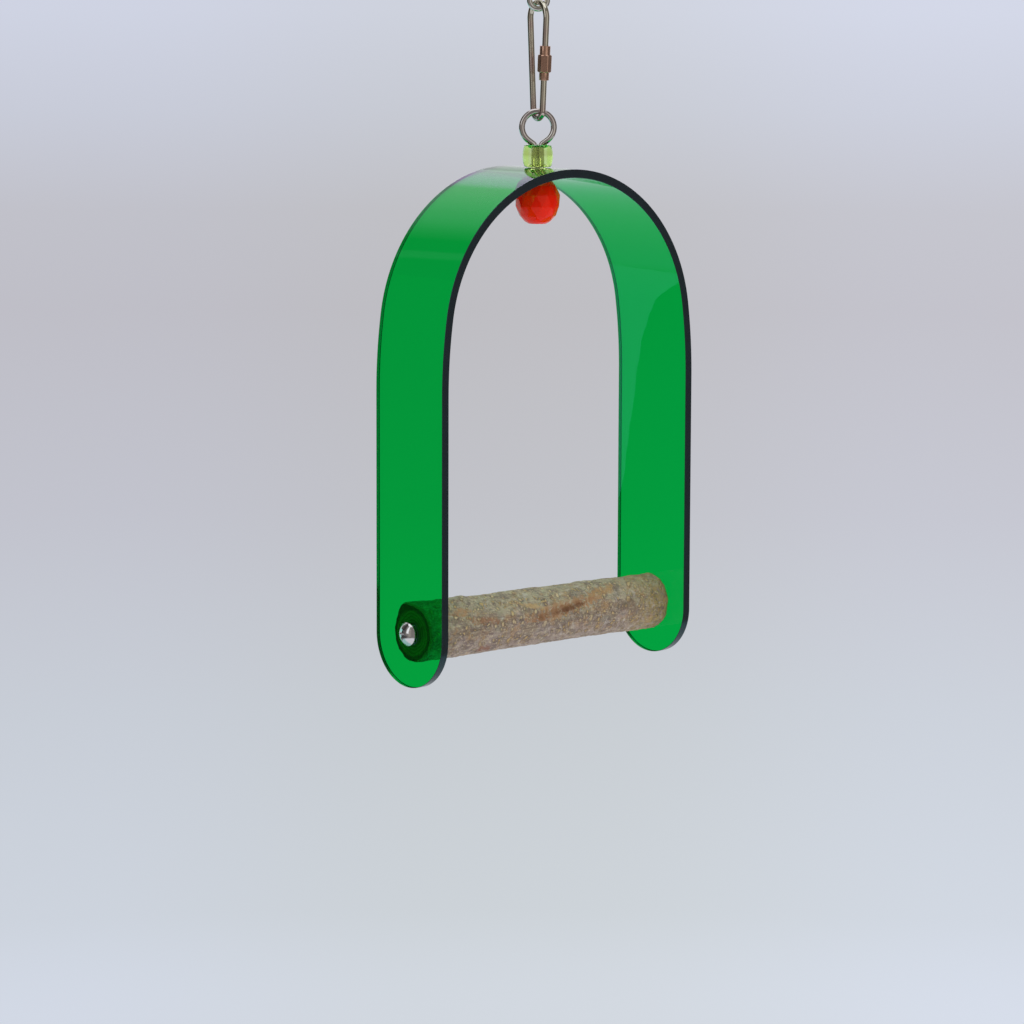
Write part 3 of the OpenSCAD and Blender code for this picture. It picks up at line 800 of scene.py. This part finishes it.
def threaded_radii(path):
    """The link wire's radius per point and side, with thread and a rounded tip at both ends."""
    run = np.concatenate([[0], np.cumsum(np.linalg.norm(np.diff(path, axis=0), axis=1))])
    round_share = round_angles(WIRE_SIDES)[None] / (2 * math.pi)
    radii = np.full((len(path), WIRE_SIDES), LINK_WIRE / 2)
    for from_tip, length in ((run, GATE_THREAD_LOW), (run[-1] - run, GATE_THREAD_TOP)):
        cut = (from_tip < length - 0.01 * MM)[:, None]
        share = (from_tip[:, None] / GATE_PITCH + round_share) % 1
        fade = np.clip((length - from_tip) / (2 * GATE_PITCH), 0, 1)[:, None]
        groove = GATE_THREAD_DEPTH * (1 - np.abs(2 * share - 1)) * fade
        radii = np.where(cut, radii - groove, radii)
        radii = radii - LINK_TIP_ROUND * np.clip(1 - from_tip / LINK_TIP_ROUND, 0, 1)[:, None]
    return radii


def make_screw_link(metal):
    top_r, low_r, top_mid, low_mid, leg, taper, gate = link_frame()
    gate_top = GATE_STUB + GATE_GAP
    path = joined(
        line(gate(GATE_STUB), gate(GATE_STUB - GATE_THREAD_LOW), 60),
        line(gate(GATE_STUB - GATE_THREAD_LOW), gate(0), 8),
        arc(0, low_mid, low_r, -taper, -180 + taper, 36),
        line((-gate(0)[0], gate(0)[1]), (-gate(leg)[0], gate(leg)[1]), 20),
        arc(0, top_mid, top_r, 180 + taper, -taper, 48),
        line(gate(leg), gate(gate_top + GATE_THREAD_TOP), 8),
        line(gate(gate_top + GATE_THREAD_TOP), gate(gate_top), 72))
    points, faces = loft(wire(path, threaded_radii(path), LINK_TURN), capped=True)
    mesh_piece("screw_gate_link", points, faces, "connector", "screw_link",
               (metal,), sharp=60)


def sleeve_profile():
    """The sleeve's heights and its radius per side: up its outside and back down the bore."""
    corner = SLEEVE_HEX / 2 / math.cos(math.pi / 6)
    flats = SLEEVE_HEX / 2 / np.cos(round_angles(SLEEVE_SIDES) % (math.pi / 3) - math.pi / 6)
    drop = corner - SLEEVE_HEX / 2
    part_round = SLEEVE_ROUND * 0.3
    bore = SLEEVE_BORE_D / 2

    def end(r, length):
        """A collar and the hexagon's chamfer behind it, as (height from the end face, radius)."""
        collar = [(0, r - SLEEVE_ROUND), (part_round, r - part_round), (SLEEVE_ROUND, r),
                  (length - SLEEVE_FILLET, r), (length, r + SLEEVE_FILLET)]
        limits = [(share, corner - SLEEVE_CORNER_CUT - drop * (1 - share)) for share in (0, 0.33, 0.66, 1)]
        return collar + [(length + drop * share, np.minimum(flats, limit)) for share, limit in limits]

    top = reversed(end(COLLAR_TOP_D / 2, COLLAR_TOP_LEN))
    steps = end(COLLAR_LOW_D / 2, SLEEVE_LEN - SLEEVE_HEX_LEN - COLLAR_TOP_LEN)
    steps += [(SLEEVE_LEN - height, r) for height, r in top]
    steps += [(SLEEVE_LEN, bore + SLEEVE_BORE_CUT), (SLEEVE_LEN - SLEEVE_BORE_CUT, bore),
              (SLEEVE_BORE_CUT, bore), (0, bore + SLEEVE_BORE_CUT)]
    return [height for height, _ in steps], [np.broadcast_to(r, SLEEVE_SIDES) for _, r in steps]


def make_sleeve(metal):
    *_, taper, gate = link_frame()
    points, faces = loft(turned(*sleeve_profile(), SLEEVE_SIDES), looped=True)
    x, z = gate(GATE_STUB - SLEEVE_GRIP)
    turn = Matrix.Rotation(math.radians(LINK_TURN), 4, "Z")
    tilt = turn @ Matrix.Translation((x, 0, z)) @ Matrix.Rotation(math.radians(taper), 4, "Y")
    points = [tilt @ Vector(p) for p in points]
    mesh_piece("hex_sleeve", points, faces, "gate", "sleeve", (metal,), sharp=28)


def make_chain_link(node, body, turn, metal):
    low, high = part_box(node)
    r = (CHAIN_W - CHAIN_WIRE) / 2
    top, bottom = high.z - CHAIN_WIRE / 2 - r, low.z + CHAIN_WIRE / 2 + r
    path = joined(arc(0, top, r, 0, 180, 32), line((-r, top), (-r, bottom), 12),
                  arc(0, bottom, r, 180, 360, 32), line((r, bottom), (r, top), 24))[:-1]
    # The weld is a small swelling in the middle of one straight side
    up = (path[:, 1] - (top + bottom) / 2) / WELD_SPREAD
    weld = np.where(path[:, 0] > r - 0.1 * MM, np.exp(-(up ** 2)), 0)
    radii = CHAIN_WIRE / 2 + WELD_HEIGHT * weld
    points, faces = loft(wire(path, radii, turn, looped=True), looped=True)
    mesh_piece(node + "_wire", points, faces, body, node, (metal,))


def make_upper_bead():
    """A barrel with rounded rims. Its bore is tinted darker olive than its outside."""
    low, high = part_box("upper_bead")
    r, mid = high.x, (low.z + high.z) / 2
    bore, rim = PIN_HOLE_R, UPPER_ROUND
    low_z, high_z = low.z + rim, high.z - rim
    outside = joined(arc(r - rim, low_z, rim, -90, 0, 12), line((r, low_z), (r, high_z), 16),
                     arc(r - rim, high_z, rim, 0, 90, 12))
    barrel = r - UPPER_BULGE + np.sqrt(UPPER_BULGE ** 2 - (outside[:, 1] - mid) ** 2)
    outside = np.column_stack([np.minimum(outside[:, 0], barrel), outside[:, 1]])
    inside = joined(arc(bore + rim, high_z, rim, 90, 180, 12), line((bore, high_z), (bore, low_z), 8),
                    arc(bore + rim, low_z, rim, 180, 270, 12))
    profile = np.vstack([outside, inside])
    points, faces = loft(turned(profile[:, 1], profile[:, 0], UPPER_SIDES), looped=True)
    lime = clear_plastic("lime_bead", 150, (0.73, 0.947, 0), 0.05 * MM)
    lime.link(Base_Color=lime.mix(lime.attribute("bore"), WHITE, (0.52, 0.55, 0.25)))
    piece = mesh_piece("lime_barrel_bead", points, faces, "upper_spinner", "upper_bead",
                       (lime.material,))
    # The bore begins five rings into the inside's first rounding
    in_bore = np.arange(len(faces)) // UPPER_SIDES >= len(outside) + 5
    mark_faces(piece, "bore", in_bore.astype(float))


def faceted_ball(mid, half):
    """Points and faces of the red bead without its hole. Each row of corners is set over."""
    ball = bmesh.new()
    for i, (up, out) in enumerate(zip(BEAD_HEIGHT_SHARES, BEAD_WIDTH_SHARES)):
        for j in range(BEAD_SIDES):
            a = 2 * math.pi * (j + (i % 2) / 2) / BEAD_SIDES
            ball.verts.new((BEAD_R * out * math.cos(a), BEAD_R * out * math.sin(a), mid + half * up))
    bmesh.ops.convex_hull(ball, input=ball.verts)
    bmesh.ops.dissolve_limit(ball, angle_limit=math.radians(0.5), verts=ball.verts, edges=ball.edges)
    bmesh.ops.bevel(ball, geom=ball.edges[:], offset=BEAD_EDGE_ROUND, segments=2, profile=0.5,
                    affect="EDGES")
    mesh = bpy.data.meshes.new("ball")
    ball.to_mesh(mesh)
    ball.free()
    return [v.co[:] for v in mesh.vertices], [tuple(p.vertices) for p in mesh.polygons]


def make_lower_bead():
    low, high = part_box("lower_bead")
    red = clear_plastic("red_bead", 600, (0.995, 0.5, 0), 0.03 * MM, clarity=0.25,
                        tint=(1, 0.55, 0.4), body=(0.97, 0.012, 0.0005))
    points, faces = faceted_ball((low.z + high.z) / 2, (high.z - low.z) / 2)
    piece = mesh_piece("faceted_red_bead", points, faces, "lower_spinner", "lower_bead",
                       (red.material,), sharp=BEAD_SHARP)
    over = 1 * MM
    heights = (low.z - over, low.z, low.z + SINK_DEPTH, high.z + over)
    radii = (SINK_D / 2, SINK_D / 2, PIN_HOLE_R, PIN_HOLE_R)
    carve(piece, mesh_object("cutter", *loft(turned(heights, radii, 64), capped=True)), BEAD_SHARP)


def screw_profile():
    """From the top of the head to the plain shank, as (how far in from the seat, radius)."""
    head_r, shank_r, edge = HEAD_D / 2, SHANK_D / 2, HEAD_EDGE_ROUND
    dome_h = HEAD_H - HEAD_RIM
    dome_r = (head_r ** 2 + dome_h ** 2) / (2 * dome_h)
    dome = [(-HEAD_H + dome_r * (1 - math.cos(a)), dome_r * math.sin(a))
            for a in np.linspace(0.002, math.asin(head_r / dome_r) * 0.985, 26)]
    rim = [(-HEAD_RIM - 0.05 * MM, head_r - 0.02 * MM), (-HEAD_RIM + 0.1 * MM, head_r),
           (-edge, head_r), (0, head_r - edge)]
    shank = [(0, shank_r + 0.1 * MM), (0.1 * MM, shank_r), (SHANK_LEN - 0.4 * MM, shank_r)]
    return np.array(dome + rim + shank)


def screw_rings():
    """Rings of a whole screw along Z, with its thread on a core that tapers to the tip."""
    profile = screw_profile()
    run = np.arange(SHANK_LEN, SCREW_LEN, THREAD_STEP)
    to_tip = (SCREW_LEN - run) / TIP_LEN
    core = np.where(run < SCREW_LEN - TIP_LEN, CORE_D / 2, CORE_D / 2 * np.clip(to_tip, 0.06, 1))
    fade = np.clip(to_tip, 0, 1) * np.clip((run - SHANK_LEN) / THREAD_PITCH, 0, 1)
    share = (run[:, None] / THREAD_PITCH - round_angles(SCREW_SIDES)[None] / (2 * math.pi)) % 1
    ridge = np.clip(1 - np.abs(2 * share - 1) / THREAD_WIDTH_SHARE, 0, 1)
    thread = core[:, None] + (SHANK_D - CORE_D) / 2 * fade[:, None] * ridge
    radii = np.vstack([np.tile(profile[:, 1:], (1, SCREW_SIDES)), thread])
    return turned(np.concatenate([profile[:, 0], run]), radii, SCREW_SIDES)


def cut_recess(piece, turn):
    """A cross recess whose four arms narrow and climb towards their ends."""
    outer, arm = RECESS_W / 2, RECESS_ARM / 2
    levels = ((-HEAD_H - 0.5 * MM, outer * 1.12, arm * 1.12), (-HEAD_H + 0.35 * MM, outer, arm),
              (RECESS_DEPTH - HEAD_H, outer * 0.42, arm * 0.7))
    block = np.array([[(x * long, y * wide, h) for x, y in ((1, -1), (1, 1), (-1, 1), (-1, -1))]
                      for h, long, wide in levels])
    points, faces = loft(block, capped=True)
    for angle in (RECESS_TURN, RECESS_TURN + 90):
        spin = turn @ Matrix.Rotation(math.radians(angle), 4, "Z")
        carve(piece, mesh_object("cutter", [spin @ Vector(p) for p in points], faces), SCREW_SHARP)


def make_screw(node, name, side, metal):
    """A round-head screw along X with its head outwards; side is -1 for the left one."""
    low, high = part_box("arch")
    points, faces = loft(screw_rings(), capped=True)
    seat = Matrix.Translation((side * (high.x + HEAD_LIFT), 0, low.z + PERCH_UP))
    turn = seat @ Matrix.Rotation(math.radians(-90 * side), 4, "Y")
    points = [turn @ Vector(p) for p in points]
    piece = mesh_piece(name, points, faces, "swing", node, (metal,), sharp=SCREW_SHARP)
    cut_recess(piece, turn)


def paper():
    """Pale paper with its own soft light, a little brighter and bluer to the sides."""
    s = Shader("pale_paper", Base_Color=BLACK, Roughness=1.0, Specular_IOR_Level=0.0)
    z = s.split(s.place)[2]
    # The glow's tone by height is painted light, dimmer part way up the sweep
    tone = s.stops(s.math("DIVIDE", s.less(z, FLOOR_Z), PAPER_RISE), PAPER_TONES)
    beside = s.dot(s.place, CAMERA_RIGHT)
    glow = s.mix(s.ramp(s.math("ABSOLUTE", beside), 0.06, 0.40), WHITE, (1.025, 1.03, 1.075))
    return s.link(Emission_Color=s.vector("MULTIPLY", tone, glow),
                  Emission_Strength=s.ramp(beside, -0.4, 0.45, 0.985, 1.04))


def make_stage():
    """A wide pale floor that curves up into a wall all round, far from the swing."""
    curve_in, curve_up = WALL_R - WALL_CURVE, FLOOR_Z + WALL_CURVE
    profile = joined(line((FLOOR_START, FLOOR_Z), (curve_in, FLOOR_Z), 12),
                     arc(curve_in, curve_up, WALL_CURVE, -90, 0, 48),
                     line((WALL_R, curve_up), (WALL_R, WALL_TOP), 6))
    points, faces = loft(turned(profile[:, 1], profile[:, 0], STAGE_SIDES))
    faces.append(tuple(range(STAGE_SIDES - 1, -1, -1)))
    floor = mesh_object("paper_sweep", points, faces, (paper(),))
    floor.visible_glossy = False
    floor.visible_diffuse = False
    floor.visible_shadow = False


def make_card():
    """A card beside the swing that only gloss sees, for part of the far leg's inner face."""
    away = Vector((CAMERA_FORWARD.x, CAMERA_FORWARD.y, 0)).normalized()
    points = [CARD_MIDDLE + away * out + Vector((0, 0, z))
              for near, z in CARD_NEAR for out in (near, CARD_FAR)]
    faces = [(2 * i, 2 * i + 1, 2 * i + 3, 2 * i + 2) for i in range(len(CARD_NEAR) - 1)]
    s = Shader("card", Base_Color=BLACK, Specular_IOR_Level=0.0, Emission_Color=(0.43, 0.80, 0.74),
               Emission_Strength=1.0)
    card = mesh_object("side_card", points, faces, (s.material,))
    card.visible_camera = False
    card.visible_diffuse = False
    card.visible_transmission = False
    card.visible_shadow = False


def make_light(name, at, target, size, power, colour):
    """A square lamp that looks at a target and that gloss doesn't see."""
    data = bpy.data.lights.new(name, "AREA")
    data.shape = "SQUARE"
    data.size = size
    data.energy = power
    data.color = colour
    lamp = bpy.data.objects.new(name, data)
    lamp.location = at
    lamp.rotation_euler = (Vector(target) - Vector(at)).to_track_quat("-Z", "Y").to_euler()
    lamp.visible_glossy = False
    bpy.context.scene.collection.objects.link(lamp)


def mirrored_view(s, azimuth, height):
    """What gloss sees: bright paper behind, soft light above and a dim room in front. Azimuth and
    height are in degrees, and azimuth runs to the right of straight behind the swing."""
    side = s.math("ABSOLUTE", azimuth)

    def band(value, low, high, soft):
        """1 between low and high, with soft ends."""
        fall = s.ramp(value, high - soft, high + soft, 1.0, 0.0)
        return s.times(s.ramp(value, low - soft, low + soft), fall)

    view = s.mix(s.ramp(side, 112, 124), (0.17, 0.155, 0.145), (0.22, 0.20, 0.19))
    for across, up, colour in ROOM_PATCHES:
        view = s.mix(s.times(band(azimuth, *across), band(height, *up)), view, colour)
    # The paper behind, with the light patch that the crown mirrors
    wall = s.mix(s.ramp(side, 25, 60), (0.78, 0.79, 0.81), (0.50, 0.50, 0.51))
    wall = s.mix(s.ramp(side, 46, 61, 0.0, 0.8), wall, (0.03, 0.03, 0.03))
    crown_lit = s.mix(s.ramp(height, 17, 27), (1.08, 1.12, 1.16), (1.32, 0.92, 1.45))
    wall = s.mix(s.times(s.ramp(side, 13, 19, 1.0, 0.0), band(height, 17, 34.5, 1)), wall, crown_lit)
    border = s.ramp(height, 25, 38, 45.0, 58.0)
    view = s.mix(s.ramp(s.less(side, border), -2.5, 2.5, 1.0, 0.0), view, wall)
    # The paper's edge, seen as a thin line in the bend of the near leg
    across, up, colour = PAPER_EDGE
    view = s.mix(s.times(band(azimuth, *across), band(height, *up)), view, colour)
    # The floor, which reaches all round far below, and the light overhead
    below = s.times(s.ramp(side, 44, 47, 1.0, 0.0), s.ramp(height, -1.5, 1.0, 1.0, 0.0))
    below = s.math("MAXIMUM", below, s.ramp(height, -34, -28, 1.0, 0.0))
    floor = s.mix(band(azimuth, -97, 0, 14), (0.74, 0.75, 0.79), (0.37, 0.60, 0.60))
    view = s.mix(below, view, floor)
    return s.mix(s.ramp(height, 55, 63), view, (1.3, 1.32, 1.36))


def make_world():
    """One colour for what gloss mirrors, one for the light on matt faces and one for the rest."""
    world = bpy.data.worlds.new("studio")
    bpy.context.scene.world = world
    world.use_nodes = True
    s = Nodes(world.node_tree)
    for node in list(s.tree.nodes):
        s.tree.nodes.remove(node)
    way = s.node("ShaderNodeTexCoord").outputs["Generated"]
    ahead = Vector((CAMERA_FORWARD.x, CAMERA_FORWARD.y, 0)).normalized()
    right = Vector((ahead.y, -ahead.x, 0))
    azimuth = s.times(s.math("ARCTAN2", s.dot(way, right), s.dot(way, ahead)), 180 / math.pi)
    height = s.times(s.math("ARCSINE", s.dot(way, (0, 0, 1))), 180 / math.pi)

    def background(colour):
        return s.node("ShaderNodeBackground", {"Color": colour, "Strength": 1.0}).outputs[0]

    def pick(share, a, b):
        return s.node("ShaderNodeMixShader", {0: share, 1: a, 2: b}).outputs[0]

    soft = s.mix(s.ramp(height, -40, 30), (1.08, 1.08, 1.10), (0.74, 0.76, 0.80))
    rays = s.node("ShaderNodeLightPath").outputs
    seen = pick(rays["Is Diffuse Ray"], background((0.62, 0.645, 0.71)), background(soft))
    seen = pick(rays["Is Glossy Ray"], seen, background(mirrored_view(s, azimuth, height)))
    s.node("ShaderNodeOutputWorld", {"Surface": seen})


def make_camera():
    data = bpy.data.cameras.new("camera")
    data.lens = CAMERA_LENS
    data.sensor_width = CAMERA_SENSOR
    data.clip_start = 0.05
    data.clip_end = 20
    camera = bpy.data.objects.new("camera", data)
    back = -CAMERA_FORWARD
    up = back.cross(CAMERA_RIGHT)
    turn = Matrix((CAMERA_RIGHT, up, back)).transposed().to_4x4()
    camera.matrix_world = Matrix.Translation(CAMERA_AT) @ turn
    bpy.context.scene.collection.objects.link(camera)
    bpy.context.scene.camera = camera


bpy.context.scene.view_settings.view_transform = "Standard"
make_camera()
make_world()
make_stage()
make_card()
make_light("top_softbox", at=(0.1, 0.15, 0.95), target=(0, 0, -0.2), size=0.9, power=7,
           colour=(1, 0.98, 0.95))
make_light("left_fill", at=(-1.1, -0.6, 0.25), target=(0, 0, -0.15), size=0.7, power=2.5,
           colour=(0.96, 0.98, 1))

pin_metal = steel("pin_steel", (0.69, 0.67, 0.64), tarnish=(0.36, 0.31, 0.28), rough=0.08,
                  cast=(0.58, 0.53, 0.52))
link_metal = steel("link_steel", (0.64, 0.61, 0.50), tarnish=(0.34, 0.26, 0.20), rough=0.08,
                   draw=(1, 1, 0.12), cast=(0.58, 0.46, 0.43))
# The sleeve's copper-brown is partly plating and partly painted reflection of the brown room in front
sleeve_metal = steel("sleeve_steel", (0.60, 0.37, 0.27), tarnish=(0.42, 0.24, 0.17), rough=0.2,
                     spots=0.6)
chain_metal = steel("chain_steel", (0.66, 0.65, 0.62), tarnish=(0.40, 0.34, 0.28), rough=0.09)
screw_metal = steel("screw_steel", (0.74, 0.74, 0.75), tarnish=(0.45, 0.42, 0.40), rough=0.12)

make_arch()
make_perch()
make_screw("left_screw", "left_round_screw", -1, screw_metal)
make_screw("right_screw", "right_round_screw", 1, screw_metal)
make_eye_pin(pin_metal)
make_screw_link(link_metal)
make_sleeve(sleeve_metal)
make_chain_link("lower_link", "lower_chain", EYE_TURN, chain_metal)
make_chain_link("middle_link", "middle_chain", EYE_TURN + 90, chain_metal)
make_chain_link("top_link", "hanger", EYE_TURN, chain_metal)
make_upper_bead()
make_lower_bead()
